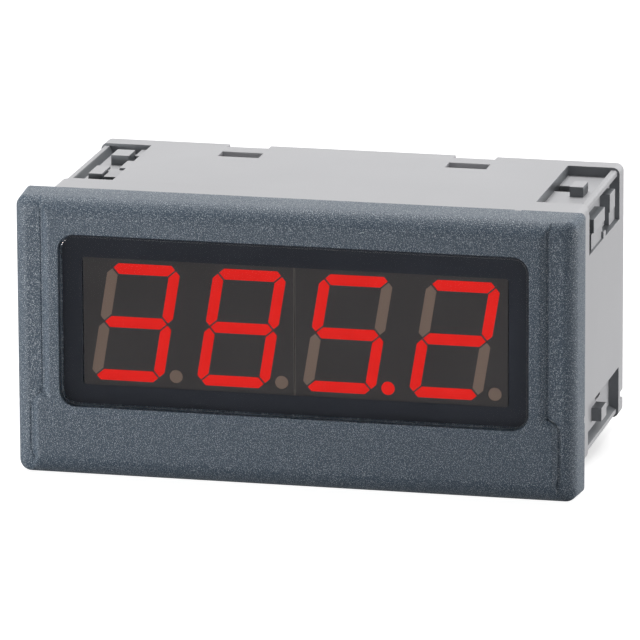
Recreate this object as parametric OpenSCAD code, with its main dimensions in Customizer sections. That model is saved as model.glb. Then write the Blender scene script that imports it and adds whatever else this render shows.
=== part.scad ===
// Digital panel meter, 96 x 48 front format, four 20 mm digits, plug-in screw terminals.
// Frame: +X right, +Z up, +Y towards the rear. The origin is the centre of the panel
// cut-out, in the plane where the bezel's back rests on the panel.

/* [Bezel] */
// Width of the front bezel
bezel_w = 96; // [95:0.5:104]
// Height of the front bezel
bezel_h = 48; // [47.5:0.5:54]
// Depth of the bezel in front of the panel
bezel_t = 8.8; // [8:0.1:12]
// Radius of the raised field's rolled edges
bezel_roll = 3.3; // [1.5:0.1:4]
// Radius of the side pillars' rolled edges
pillar_roll = 2.5; // [1:0.1:3.5]
// Radius of the bezel's outer corners
bezel_corner_r = 1.9; // [0.8:0.1:3.5]
// Width of the raised centre field
field_w = 84; // [83:0.5:87]
// Width of the raised apron under the window
apron_w = 88.2; // [86:0.2:91]
// Height of the apron above the bezel's bottom edge
apron_h = 13.4; // [9:0.2:14.5]
// Radius of the apron's shoulders
apron_r = 1.2; // [0.4:0.1:2]
// Height of the step from the side pillars to the raised field
step_h = 0.9; // [0.4:0.1:1.2]
// Run of the step's slope
step_run = 1.2; // [0.4:0.1:1.6]
// Width of the fine groove at the foot of the step
groove_w = 0.5; // [0.2:0.05:0.6]
// Depth of the fine groove at the foot of the step
groove_d = 0.45; // [0.1:0.05:0.6]
// Thickness of the ledge that the window is glued to
ledge_t = 1.2; // [0.8:0.1:2]
// Length of the spigot that enters the housing
spigot_l = 5; // [4:0.5:5.5]
// Wall of the spigot
spigot_wall = 1.2; // [0.8:0.1:1.5]

/* [Window] */
// Width of the window
window_w = 80; // [78:0.5:81]
// Height of the window
window_h = 29.3; // [28.6:0.1:30.5]
// Corner radius of the window
window_r = 2.6; // [1:0.1:4]
// Thickness of the window
window_t = 1.4; // [1:0.1:2]
// How far the window lies behind the raised field
window_recess = 0.35; // [0.1:0.05:0.8]
// Height of the window's centre above the bezel's centre
window_rise = 3.15; // [2:0.05:3.6]

/* [Display] */
// Distance from digit to digit
digit_pitch = 18.2; // [17.5:0.1:18.4]
// Distance between the centre lines of a digit's left and right segments
digit_cw = 11; // [10.6:0.1:11.2]
// Distance between the centre lines of the top and middle segments
digit_ch = 9.4; // [9:0.1:9.6]
// Slant of the digits in degrees
digit_slant = 9.4; // [8:0.2:11]
// Height of the digits' centre above the bezel's centre
digit_rise = 2.95; // [2:0.05:3.2]
// Width of an outer segment from its tips to its outer edge
seg_out = 0.75; // [0.5:0.05:1]
// Width of an outer segment from its tips to its inner edge
seg_in = 1.1; // [0.7:0.05:1.3]
// Half of the middle segment's thickness
seg_mid = 0.95; // [0.6:0.05:1.1]
// Half of the gap where two segments meet
seg_gap = 0.2; // [0.1:0.05:0.4]
// Depth of the cast resin segments
seg_depth = 1; // [0.6:0.1:2]
// Radius of the decimal points
dot_r = 1.12; // [0.8:0.02:1.2]
// Decimal point's distance to the right of its digit's centre
dot_x = 6.85; // [6.7:0.05:7]
// Decimal point's distance below its digit's centre
dot_drop = 8.95; // [8:0.05:9.5]
// Height of a display module
module_h = 27.2; // [24:0.1:27.6]
// Depth of a display module
module_t = 8; // [7:0.1:9]
// Radius of a display pin
display_pin_r = 0.35; // [0.25:0.05:0.45]

/* [Housing] */
// Width of the housing
housing_w = 91.6; // [91:0.1:92]
// Height of the housing
housing_h = 44.2; // [43.6:0.1:45]
// Length of the housing behind the panel seat
housing_l = 44.7; // [44.6:0.1:48]
// Wall of the housing
housing_wall = 1.8; // [1.5:0.1:1.9]
// Radius of the housing's long edges
housing_r = 1.2; // [0.6:0.1:1.7]
// Width of the rear latch slots
slot_w = 7.2; // [6.8:0.1:9]
// Length of the rear latch slots
slot_l = 3.7; // [3:0.1:5]
// Distance from a latch slot to the rear edge
slot_back = 5.6; // [5:0.1:7]
// Distance of the latch slots from the middle
slot_x = 20; // [14:0.5:24]

/* [Clamp recesses] */
// Where the recesses start, behind the panel seat
recess_y = 14; // [12:0.1:14]
// Distance from the recesses to the housing's rear edge
recess_back = 3.7; // [3.5:0.1:5.5]
// Width of a recess, from the housing's edge
recess_w = 9; // [8.4:0.1:10]
// Depth of the recesses
recess_d = 1.8; // [1.2:0.1:2]
// Wall under the recesses
recess_wall = 1.5; // [1:0.1:1.8]
// Set-back of the corner rail from both outer faces
rail_set = 0.5; // [0.2:0.05:0.8]
// Width of the corner rail's top
rail_w = 1.05; // [0.7:0.05:1.2]
// Distance of the catch from the housing's edge, first face
catch_a_u = 3.35; // [2.8:0.05:4]
// Width of the catch on the first face
catch_a_w = 2.35; // [1.6:0.05:3]
// Length of the catch on the first face
catch_a_l = 4.4; // [3:0.1:5]
// Distance from the recess's start to that catch
catch_a_y = 11.8; // [8:0.1:12.5]
// Distance of the catch from the edge, second face at the top and bottom
catch_b_u_flat = 4.05; // [2.8:0.05:4.4]
// Distance of the catch from the edge, second face at the sides
catch_b_u_side = 2.65; // [2.4:0.05:4.4]
// Width of the catch on the second face
catch_b_w = 3.2; // [2:0.05:3.6]
// Length of the catch on the second face
catch_b_l = 4.5; // [3:0.1:5]
// Distance from the recess's start to that catch
catch_b_y = 18.4; // [17:0.1:20]
// Length of the front slot on the second face
hook_slot_l = 3.9; // [2:0.1:3.9]
// Distance of the front slot from the housing's edge
hook_slot_u = 3.7; // [3:0.1:5]
// Depth of the stair behind the catch
stair_d = 0.9; // [0.4:0.1:1.1]
// Length of the bridge behind the front slot, at the top and bottom
bridge_l_flat = 6; // [3:0.1:9]
// Length of the bridge behind the front slot, at the sides
bridge_l_side = 9.5; // [3:0.1:10]

/* [Rear cover] */
// Width of a latch tongue
latch_w = 6.4; // [4:0.1:6.8]
// Thickness of a latch tongue
latch_t = 1.2; // [0.8:0.1:1.5]
// How far a latch's hook stands in its slot
latch_hook = 0.9; // [0.4:0.1:1.2]
// Room around each terminal plug in the cover
plug_room = 0.25; // [0.15:0.05:0.5]

/* [Boards] */
// Thickness of the circuit boards
board_t = 1.6; // [1:0.1:1.6]
// Distance from the main board's rear edge to the plugs
board_back = 0.5; // [0.3:0.1:1.5]

/* [Terminals] */
// Distance from pole to pole
pitch = 5.08; // [5:0.02:5.2]
// Sideways place of the input plug
input_x = -16; // [-17.5:0.5:-14]
// Sideways place of the supply plug
supply_x = 22; // [20:0.5:23.5]
// How far the plugs stand behind the housing
plug_out = 10.5; // [8:0.1:12]
// Length of the plugs' screw blocks
block_l = 18.1; // [17:0.1:20]
// Height of the screw blocks above the contact line
block_up = 9.2; // [9:0.1:11]
// Height of the screw blocks below the contact line
block_down = 5.8; // [5.6:0.1:6.2]
// Length of a plug's nose
nose_l = 7.8; // [7:0.1:9]
// Height of a plug's nose
nose_h = 6.4; // [5.6:0.1:6.6]
// Height of the board headers
header_h = 8.6; // [8.4:0.1:10]
// Radius of a terminal screw's shank
screw_r = 1.25; // [1:0.05:1.35]
// Radius of a terminal screw's head
screw_head_r = 1.85; // [1.7:0.05:2]
// Height of a terminal screw's head
screw_head_h = 1.6; // [1.2:0.1:1.6]
// Width of a clamp cage
cage_w = 3.9; // [3.8:0.05:4.1]
// Length of a clamp cage along the wire
cage_l = 4.5; // [4:0.1:4.6]
// Height of a clamp cage
cage_h = 7.6; // [7.4:0.05:7.7]
// Travel of a clamp cage
cage_travel = 3; // [2:0.1:3]
// Width and height of a wire entry
wire_w = 3.4; // [2.6:0.1:3.5]

/* [Hidden] */
$fn = 64;

// Clearances
fit = 0.1;
loose = 0.2;
running = 0.05;
over = 1;

// Front
front_y = -bezel_t;
pillar_y = front_y + step_h;
raised_back_y = front_y + bezel_roll + over;
window_y = front_y + window_recess;
window_back_y = window_y + window_t;
ledge_back_y = window_back_y + ledge_t;
apron_z = apron_h - bezel_h / 2;
dimple_r = 0.5;
pry_w = 1.1;
pry_d = 0.5;
pry_z = -11.4;
pry_x = 36.6;

pry_in = 1.3;

// Housing
seat_d = 0.5;
inner_w = housing_w - 2 * housing_wall;
inner_h = housing_h - 2 * housing_wall;
spigot_w = inner_w - 2 * fit;
spigot_h = inner_h - 2 * fit;
cavity_w = spigot_w - 2 * spigot_wall;
cavity_h = spigot_h - 2 * spigot_wall;
recess_end = housing_l - recess_back;
block_end = recess_end + recess_wall;
slot_y = housing_l - slot_back - slot_l;
cover_t = 2;
cover_y = housing_l - cover_t;
notch_l = 2.2;
notch_d = 0.45;
side_notch_w = 1.3;
side_notch_z = 3.5;
latch_lead = 0.8;
nub_w = 10;
nub_y = 3;
nub_l = 1.2;
nub_h = 0.45;
rib_h = 1.5;
rib_d = 1.2;

// Display
module_y = window_back_y + fit;
module_back_y = module_y + module_t;
module_w = 2 * digit_pitch - fit;
digit_x = [-1.5, -0.5, 0.5, 1.5] * digit_pitch;
lean = tan(digit_slant);
// Which of the segments a to g, and the decimal point p, are lit on each digit
LIT = ["abcdg", "abcdefg", "acdfgp", "abdeg"];
display_row_z = 11.43;
display_row_pins = 6;
display_pin_pitch = 5.08;
display_pin_out = 1.6;
solder_l = 1.3;
post_r = 2;
stake_r = 0.9;
stake_end = 0.6;
post_inset = 3;
post_x = cavity_w / 2 - post_inset;
post_z = cavity_h / 2 - post_inset;

// Boards
display_board_y = module_back_y;
display_board_back = display_board_y + board_t;
plug_end = housing_l + plug_out;
plug_y = plug_end - block_l;
board_room = 0.3;
main_board_y = max(spigot_l, display_board_back) + board_room;
main_board_end = plug_y - board_back;
main_board_w = inner_w - 2 * loose;
main_board_z = recess_w + recess_wall - housing_h / 2;
board_top = main_board_z + board_t;
link_count = 8;
link_pitch = 2.54;
link_body_h = 2.5;
link_body_l = 3;
link_pin = 0.64;
link_x = -20;
link_z = main_board_z - link_body_h / 2;
link_foot_y = main_board_y + link_body_l + 1;

// Transformer
trafo_x = 18;
trafo_h = 15;
core_w = 18;
core_l = 5;
leg_w = 4;
yoke = 2.6;
flange_l = 13;
flange_t = 1.2;
barrel_wall = 0.9;
winding_room = 0.3;
winding_in = 0.7;
core_window = (core_w - 2 * yoke - leg_w) / 2;

// Other parts on the boards: sizes, and places across
bulk_r = 4.5;
bulk_h = 16;
bulk_x = 34;
smoothing_r = 4;
smoothing_h = 11.5;
smoothing_x = 2;
varistor_r = 4.5;
varistor_t = 3.4;
varistor_lead = 1.5;
varistor_x = 35;
fuse_r = 4.1;
fuse_h = 7.7;
fuse_x = 5.5;
lead_r = 0.35;
chip_leg_w = 0.4;
chip_leg_t = 0.2;
chip_foot = 0.9;
chip_lift = 0.15;
fine_pitch = 1.27;
coarse_pitch = 2.54;
driver_size = [15.4, 7.5, 2.4];
driver_x = 10;
driver_up = 2;
rectifier_size = [5, 4, 2.5];
rectifier_x = 35;
controller_size = [6, 4, 1.8];
controller_x = 7.5;
coupler_size = [4.6, 4.4, 3];
coupler_x = -1;
micro_w = 10;
micro_t = 1.4;
micro_pitch = 1;
micro_leg = 1.2;
micro_step = 0.5;
foot_room = 0.7;
micro_x = -19;
converter_size = [10.3, 7.5, 2.3];
converter_x = -35;
crystal_w = 3.4;
crystal_l = 6.4;
crystal_x = -7.6;
resistor_r = 1.2;
resistor_l = 6.5;
resistor_span = 10.5;
resistor_step = 3.6;
resistor_x = -35;
small_resistor_size = [1.25, 0.5, 2];
small_resistor_step = 2.6;
small_resistor_x = -16.9;

// Terminals
input_poles = 4;
supply_poles = 2;
line_z = board_top + header_h / 2;
header_side = 1.1;
header_back = 2.4;
nose_y = plug_y - nose_l;
header_y = nose_y - fit - header_back;
pin_w = 1;
pin_bore = 1.24;
pin_foot_y = header_y - fit - pin_w;
pin_reach = 5.6;
pin_end_y = nose_y + pin_reach;
plug_side = 0.5;
plug_slope = 2.4;
screw_back = 1.9;
socket_w = 2.6;
socket_h = 2.4;
socket_y = nose_y + 0.3;
socket_l = 6.2;
socket_end = socket_y + socket_l;
bar_t = 0.8;
bar_w = 2.4;
bar_top = line_z + 1;
cage_side = 0.65;
cage_floor = 0.8;
cage_roof = 1.7;
cage_room = 0.15;
cage_top = bar_top + fit + cage_roof;
screw_y = housing_l + screw_back;
// Rows of parts along the main board, as shares of its length
front_row = 0.27;
chip_row = 0.54;
rear_row = 0.79;
board_l = main_board_end - main_board_y;
front_row_y = main_board_y + front_row * board_l;
chip_row_y = main_board_y + chip_row * board_l;
rear_row_y = main_board_y + rear_row * board_l;
trafo_y = (main_board_y + pin_foot_y) / 2;
micro_y = link_foot_y + foot_room + micro_leg + micro_w / 2;
chamber_floor = cage_top - cage_h - loose;
head_z = cage_top + cage_travel + cage_room;
chamber_top = head_z + screw_head_h + fit;
mouth_r = screw_head_r - 0.35;
wire_top = bar_top - bar_t - loose;

// A plate that follows a 2D outline in X and Z, from one Y to another
module slab(y0, y1) {
    translate([0, y1, 0])
        rotate([90, 0, 0])
            linear_extrude(y1 - y0)
                children();
}

// A box given by its two opposite corners
module span(low, high) {
    translate(low)
        cube(high - low);
}

// Rounded rectangle made from plain squares and circles
module rrect(w, h, r) {
    square([w - 2 * r, h], center = true);
    square([w, h - 2 * r], center = true);
    for (sx = [-1, 1], sy = [-1, 1])
        translate([sx * (w / 2 - r), sy * (h / 2 - r)])
            circle(r);
}

// Section through the bezel's depth from front Y: square at the back, rolled by r in front
module rolled(width, front, r) {
    translate([front + r, -width / 2])
        square([-front - r, width]);
    translate([front, r - width / 2])
        square([-front, width - 2 * r]);
    for (s = [-1, 1])
        translate([front + r, s * (width / 2 - r)])
            circle(r);
}

// A body of the bezel's outline: its rolled sections meet in mitres at the corners
module bezel_body(front, r) {
    intersection() {
        slab(front - over, 0)
            rrect(bezel_w, bezel_h, bezel_corner_r);
        rotate([90, 0, 90])
            linear_extrude(bezel_w + 2 * over, center = true)
                rolled(bezel_h, front, r);
        mirror([1, -1, 0])
            linear_extrude(bezel_h + 2 * over, center = true)
                rolled(bezel_w, front, r);
    }
}

// Section of a raised layer in X and Y, flat in front with sloping flanks
module raised_section(width) {
    foot = width / 2 + step_run;
    polygon([
        [-width / 2, front_y], [width / 2, front_y], [foot, pillar_y],
        [foot, raised_back_y], [-foot, raised_back_y], [-foot, pillar_y]
    ]);
}

// The raised field and the wider apron below it, with rounded shoulders
module raised_layer() {
    shoulder_z = apron_z - apron_r;
    translate([0, 0, apron_z - over])
        linear_extrude(bezel_h / 2 - apron_z + 2 * over)
            raised_section(field_w);
    translate([0, 0, -bezel_h / 2 - over])
        linear_extrude(shoulder_z + bezel_h / 2 + over)
            raised_section(apron_w);
    rotate([90, 0, 90])
        linear_extrude(apron_w - 2 * apron_r, center = true)
            polygon([
                [front_y, -bezel_h / 2], [raised_back_y, -bezel_h / 2],
                [raised_back_y, apron_z + step_run], [pillar_y, apron_z + step_run], [front_y, apron_z]
            ]);
    for (s = [-1, 1])
        translate([s * (apron_w / 2 - apron_r), pillar_y, shoulder_z])
            rotate([90, 0, 0])
                cylinder(h = step_h, r1 = apron_r + step_run, r2 = apron_r);
}

// Fine groove at the foot of the step, with a drain dimple above the apron
module foot_groove() {
    upper_z = apron_z + step_run;
    lower_z = apron_z - apron_r;
    for (s = [-1, 1]) {
        translate([s * (field_w / 2 + step_run + groove_w / 2), pillar_y, (upper_z + bezel_h / 2) / 2])
            cube([groove_w, 2 * groove_d, bezel_h / 2 - upper_z], center = true);
        translate([s * (apron_w / 2 + step_run + groove_w / 2), pillar_y, (lower_z - bezel_h / 2) / 2])
            cube([groove_w, 2 * groove_d, bezel_h / 2 + lower_z], center = true);
        translate([s * (field_w / 2 + step_run + groove_w / 2), pillar_y, upper_z])
            rotate([90, 0, 0])
                cylinder(h = 2 * groove_d, r = dimple_r, center = true);
    }
}

// Small notches in the bezel's back edge, where it is prised off
module pry_notches() {
    for (s = [-1, 1]) {
        translate([s * bezel_w / 2, 0, pry_z])
            cube([2 * pry_in, 2 * pry_d, pry_w], center = true);
        translate([pry_x, 0, s * bezel_h / 2])
            cube([pry_w, 2 * pry_d, 2 * pry_in], center = true);
    }
}

// Rebate in the bezel's back that takes the housing's front edge
module housing_seat() {
    slab(-seat_d, over)
        difference() {
            rrect(housing_w + 2 * fit, housing_h + 2 * fit, housing_r + fit);
            rrect(spigot_w, spigot_h, housing_r / 2);
        }
}

module front_bezel() {
    color("#565d65") {
        difference() {
            union() {
                bezel_body(pillar_y, pillar_roll);
                intersection() {
                    bezel_body(front_y, bezel_roll);
                    raised_layer();
                }
                slab(-over, spigot_l)
                    rrect(spigot_w, spigot_h, housing_r / 2);
                for (s = [-1, 1])
                    translate([0, nub_y + nub_l / 2, s * spigot_h / 2])
                        cube([nub_w, nub_l, 2 * (nub_h - fit)], center = true);
            }
            foot_groove();
            pry_notches();
            housing_seat();
            translate([0, 0, window_rise])
                slab(front_y - over, window_back_y)
                    rrect(window_w + 2 * loose, window_h + 2 * loose, window_r + loose);
            translate([0, 0, digit_rise])
                slab(front_y, ledge_back_y + over)
                    square([2 * module_w + 4 * fit, module_h + 2 * fit], center = true);
            slab(ledge_back_y, spigot_l + over)
                rrect(cavity_w, cavity_h, housing_r / 2);
        }
        for (sx = [-1, 1], sz = [-1, 1])
            translate([sx * post_x, 0, sz * post_z])
                rotate([-90, 0, 0]) {
                    translate([0, 0, ledge_back_y - loose])
                        cylinder(h = display_board_y - ledge_back_y + loose, r = post_r);
                    translate([0, 0, display_board_y - over])
                        cylinder(h = board_t + over + stake_end, r = stake_r);
                }
    }
}

module window() {
    color([0.12, 0.12, 0.13, 0.8])
        translate([0, 0, window_rise])
            slab(window_y, window_back_y)
                rrect(window_w, window_h, window_r);
}

// Outline of one slanted segment bar: pointed ends, plus side and minus side set apart
module segment(upright, plus, minus) {
    half = (upright ? digit_ch : digit_cw) / 2 - seg_gap;
    bar = [[-half, 0], [plus - half, plus], [half - plus, plus], [half, 0], [half - minus, -minus], [minus - half, -minus]];
    polygon([for (p = bar) upright ? [p[1] + p[0] * lean, p[0]] : [p[0] + p[1] * lean, p[1]]]);
}

// True if a segment of digit d belongs to the asked group: "lit", "unlit" or "all"
function in_group(d, letter, group) = group == "all" || (group == "lit") == (len(search(letter, LIT[d])) > 0);

// Segments and decimal point of digit d that belong to a group
module digit_segments(d, group, grow) {
    // Letter, place across, place up, upright or not, and the side that faces outwards
    places = [["a", 0, 1, false, 1], ["b", 0.5, 0.5, true, 1], ["c", 0.5, -0.5, true, 1], ["d", 0, -1, false, -1],
        ["e", -0.5, -0.5, true, -1], ["f", -0.5, 0.5, true, -1], ["g", 0, 0, false, 0]];
    for (s = places)
        if (in_group(d, s[0], group)) {
            up = s[2] * digit_ch;
            plus = s[4] == 0 ? seg_mid : s[4] > 0 ? seg_out : seg_in;
            minus = s[4] == 0 ? seg_mid : s[4] > 0 ? seg_in : seg_out;
            translate([digit_x[d] + s[1] * digit_cw + up * lean, digit_rise + up])
                segment(s[3], plus, minus);
        }
    if (in_group(d, "p", group))
        translate([digit_x[d] + dot_x, digit_rise - dot_drop])
            circle(dot_r + grow);
}

// Two-digit module: a moulded reflector block with a cell for each segment
module display_block(s) {
    color("#3a3938")
        difference() {
            translate([s * digit_pitch, (module_y + module_back_y) / 2, digit_rise])
                cube([module_w, module_t, module_h], center = true);
            slab(module_y - over, module_y + seg_depth)
                for (d = s < 0 ? [0, 1] : [2, 3])
                    digit_segments(d, "all", running);
        }
}

module display_left() {
    display_block(-1);
}

module display_right() {
    display_block(1);
}

module segments_lit() {
    color("#e52326")
        slab(module_y, module_y + seg_depth)
            for (d = [0:3])
                digit_segments(d, "lit", 0);
}

module segments_unlit() {
    color("#6b6159")
        slab(module_y, module_y + seg_depth)
            for (d = [0:3])
                digit_segments(d, "unlit", 0);
}

// Places of the display pins, turned so that Z points to the rear
module at_display_pins() {
    row_w = (display_row_pins - 1) * display_pin_pitch;
    for (s = [-1, 1], row = [-1, 1], i = [0:display_row_pins - 1])
        translate([s * digit_pitch - row_w / 2 + i * display_pin_pitch, 0, digit_rise + row * display_row_z])
            rotate([-90, 0, 0])
                children();
}

module display_pins() {
    color("#c8c8cc")
        at_display_pins()
            translate([0, 0, module_back_y])
                cylinder(h = board_t + display_pin_out, r = display_pin_r);
}

// Places of the pins that link the two boards
module at_link_pins() {
    for (i = [0:link_count - 1])
        translate([link_x + (i - (link_count - 1) / 2) * link_pitch, 0, 0])
            children();
}

module display_board() {
    color("#2d6b3f")
        difference() {
            slab(display_board_y, display_board_back)
                square([cavity_w - 2 * loose, cavity_h - 2 * loose], center = true);
            at_display_pins()
                translate([0, 0, display_board_y - over])
                    cylinder(h = board_t + 2 * over, r = display_pin_r + fit);
            at_link_pins()
                translate([0, display_board_y + board_t / 2, link_z])
                    cube([link_pin + 2 * fit, board_t + 2 * over, link_pin + 2 * fit], center = true);
            for (sx = [-1, 1], sz = [-1, 1])
                translate([sx * post_x, display_board_y - over, sz * post_z])
                    rotate([-90, 0, 0])
                        cylinder(h = board_t + 2 * over, r = stake_r + fit);
        }
}

// Small-outline chip standing on Z = 0: body and bent legs along both long sides
module chip(size, legs, leg_pitch) {
    h = size[2];
    translate([0, 0, (h + chip_lift) / 2])
        cube([size[0], size[1], h - chip_lift], center = true);
    for (s = [-1, 1], i = [0:legs - 1])
        translate([(i - (legs - 1) / 2) * leg_pitch, s * (size[1] + chip_foot) / 2, 0]) {
            translate([0, s * chip_foot / 4, chip_leg_t / 2])
                cube([chip_leg_w, chip_foot / 2 + chip_leg_t, chip_leg_t], center = true);
            translate([0, 0, h / 4])
                cube([chip_leg_w, chip_leg_t, h / 2], center = true);
            translate([0, -s * chip_foot / 4, (h - chip_leg_t) / 2])
                cube([chip_leg_w, chip_foot / 2 + 2 * chip_leg_t, chip_leg_t], center = true);
        }
}

module display_driver() {
    color("#1c1c1e")
        translate([driver_x, display_board_back, digit_rise + driver_up])
            rotate([-90, 0, 0])
                chip(driver_size, 10, fine_pitch);
}

module segment_resistors() {
    color("#26262a")
        for (i = [-3.5:3.5])
            translate([small_resistor_x + i * small_resistor_step, display_board_back, digit_rise])
                translate([0, small_resistor_size[1] / 2, 0])
                    cube(small_resistor_size, center = true);
}

module link_header() {
    color("#202022")
        difference() {
            translate([link_x, main_board_y + link_body_l / 2, link_z])
                cube([link_count * link_pitch, link_body_l, link_body_h], center = true);
            at_link_pins()
                translate([0, main_board_y + link_body_l / 2, link_z])
                    cube([link_pin, link_body_l + over, link_pin], center = true);
        }
}

module link_pins() {
    half = link_pin / 2;
    color("#d8b45a")
        at_link_pins() {
            span([-half, display_board_y + fit, link_z - half], [half, link_foot_y, link_z + half]);
            span([-half, link_foot_y - link_pin, link_z - half], [half, link_foot_y, board_top + solder_l]);
        }
}

// Places of a terminal's poles along X
module at_poles(poles, x) {
    for (i = [0:poles - 1])
        translate([pole_x(poles, x, i), 0, 0])
            children();
}

function pole_x(poles, x, i) = x + (i - (poles - 1) / 2) * pitch;

module main_board() {
    color("#2d6b3f")
        difference() {
            span([-main_board_w / 2, main_board_y, main_board_z], [main_board_w / 2, main_board_end, board_top]);
            at_link_pins()
                translate([0, link_foot_y - link_pin / 2, main_board_z - over])
                    cylinder(h = board_t + 2 * over, r = link_pin);
            for (t = [[supply_poles, supply_x], [input_poles, input_x]])
                at_poles(t[0], t[1])
                    translate([0, pin_foot_y + pin_w / 2, main_board_z - over])
                        cylinder(h = board_t + 2 * over, r = pin_w);
        }
}

// A block centred on the transformer, from one height over the board to another
module trafo_block(w, l, z0, z1) {
    translate([trafo_x, trafo_y, board_top + (z0 + z1) / 2])
        cube([w, l, z1 - z0], center = true);
}

module transformer_core() {
    color("#2a2a2e")
        difference() {
            trafo_block(core_w, core_l, 0, trafo_h);
            for (s = [-1, 1])
                translate([s * (leg_w + core_window) / 2, 0, 0])
                    trafo_block(core_window, core_l + over, yoke, trafo_h - yoke);
        }
}

module transformer_bobbin() {
    top = trafo_h - yoke - fit;
    flange_w = leg_w + 2 * core_window - 2 * fit;
    color("#e8e2cf")
        difference() {
            union() {
                trafo_block(flange_w, flange_l, yoke, yoke + flange_t);
                trafo_block(flange_w, flange_l, top - flange_t, top);
                trafo_block(leg_w + 2 * barrel_wall, core_l + 2 * barrel_wall, yoke, top);
            }
            trafo_block(leg_w + 2 * fit, core_l + 2 * fit, 0, trafo_h);
        }
}

module transformer_winding() {
    low = yoke + flange_t;
    high = trafo_h - yoke - fit - flange_t;
    color("#c9a227")
        difference() {
            trafo_block(leg_w + 2 * core_window - 2 * winding_room, flange_l - 2 * winding_in, low, high);
            trafo_block(leg_w + 2 * barrel_wall, core_l + 2 * barrel_wall, 0, trafo_h);
        }
}

// Upright electrolytic capacitor with a beaded can and a sunk top
module can(r, h) {
    bead = 0.1 * r;
    rim = 0.35 * r;
    rotate_extrude()
        polygon([
            [0, 0], [r, 0], [r, 2 * bead], [r - bead, 3 * bead], [r - bead, 4 * bead], [r, 5 * bead],
            [r, h - bead], [r - bead, h], [r - rim + bead, h], [r - rim, h - bead], [0, h - bead]
        ]);
}

module bulk_capacitor() {
    color("#2b3350")
        translate([bulk_x, front_row_y, board_top])
            can(bulk_r, bulk_h);
}

module output_capacitor() {
    color("#2b3350")
        translate([smoothing_x, front_row_y, board_top])
            can(smoothing_r, smoothing_h);
}

module varistor() {
    centre_z = varistor_r + varistor_lead;
    color("#3d66a8")
        translate([varistor_x, rear_row_y, board_top]) {
            translate([0, 0, centre_z])
                rotate([90, 0, 0])
                    cylinder(h = varistor_t, r = varistor_r, center = true);
            for (s = [-1, 1])
                translate([s * coarse_pitch, 0, 0])
                    cylinder(h = centre_z, r = lead_r);
        }
}

module fuse() {
    color("#6a3020")
        translate([fuse_x, rear_row_y, board_top])
            cylinder(h = fuse_h, r = fuse_r);
}

module bridge_rectifier() {
    color("#1e1e20")
        translate([rectifier_x, chip_row_y, board_top])
            chip(rectifier_size, 2, coarse_pitch);
}

module supply_controller() {
    color("#1e1e20")
        translate([controller_x, chip_row_y, board_top])
            chip(controller_size, 4, fine_pitch);
}

module optocoupler() {
    color("#e6e2d6")
        translate([coupler_x, chip_row_y, board_top])
            chip(coupler_size, 2, coarse_pitch);
}

// Flat-pack microcontroller with legs on all four sides
module microcontroller() {
    legs = 8;
    color("#1c1c1e")
        translate([micro_x, micro_y, board_top]) {
            translate([0, 0, chip_lift + micro_t / 2])
                cube([micro_w, micro_w, micro_t], center = true);
            for (a = [0:3], i = [0:legs - 1])
                rotate([0, 0, 90 * a])
                    translate([micro_w / 2 - loose, (i - (legs - 1) / 2) * micro_pitch - chip_leg_w / 2, 0])
                        cube([micro_leg, chip_leg_w, micro_step]);
        }
}

module converter_chip() {
    color("#1c1c1e")
        translate([converter_x, front_row_y, board_top])
            chip(converter_size, 8, fine_pitch);
}

module crystal() {
    color("#c9cacc")
        translate([crystal_x, front_row_y, board_top]) {
            translate([0, 0, crystal_w / 2])
                cube([crystal_l, crystal_w, crystal_w], center = true);
            for (s = [-1, 1])
                translate([s * crystal_l / 2, 0, 0])
                    cylinder(h = crystal_w, r = crystal_w / 2);
        }
}

module input_resistors() {
    lead_l = (resistor_span - resistor_l) / 2;
    color("#b9a27c")
        for (i = [-1:1])
            translate([resistor_x, rear_row_y - lead_l + i * resistor_step, board_top]) {
                translate([0, 0, resistor_r])
                    rotate([0, 90, 0])
                        cylinder(h = resistor_l, r = resistor_r, center = true);
                for (s = [-1, 1]) {
                    translate([s * (resistor_l + lead_l) / 2, 0, resistor_r])
                        rotate([0, 90, 0])
                            cylinder(h = lead_l, r = lead_r, center = true);
                    translate([s * resistor_span / 2, 0, 0])
                        cylinder(h = resistor_r + lead_r, r = lead_r);
                }
            }
}

// The housing's corners are one corner turned about Y. It is drawn with its edge along the
// Y axis, its first face on top and its second face on the right.

// Material inside, under both recesses
module corner_fill() {
    outer = recess_w + recess_wall;
    deep = recess_d + recess_wall;
    span([-outer, recess_y - recess_wall, -deep], [0, block_end, 0]);
    span([-deep, recess_y - recess_wall, -outer], [0, block_end, 0]);
}

// Section of the corner rail that stays between the two recesses
module rail_section() {
    inner = rail_set + rail_w;
    root_run = 0.4;
    root = recess_d + root_run;
    soft = 0.25;
    polygon([
        [-root, -root], [-root, -recess_d], [-inner, -rail_set], [-rail_set - soft, -rail_set],
        [-rail_set, -rail_set - soft], [-rail_set, -inner], [-recess_d, -root]
    ]);
}

// First face, drawn as if on top: open recess, catch and slot
module first_recess() {
    catch_y = recess_y + catch_a_y;
    catch_end = catch_y + catch_a_l;
    slot_gap = 0.3;
    slot_lead = 0.8;
    slot_run = 3.4;
    slot_u = catch_a_u + catch_a_w + slot_gap;
    difference() {
        span([-recess_w, recess_y, -recess_d], [over, recess_end, over]);
        span([-catch_a_u - catch_a_w, catch_y, -recess_d], [-catch_a_u, catch_end, over]);
    }
    span([-recess_w, catch_end - slot_lead, -recess_d - recess_wall - over], [-slot_u, catch_end + slot_run, 0]);
}

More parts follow.
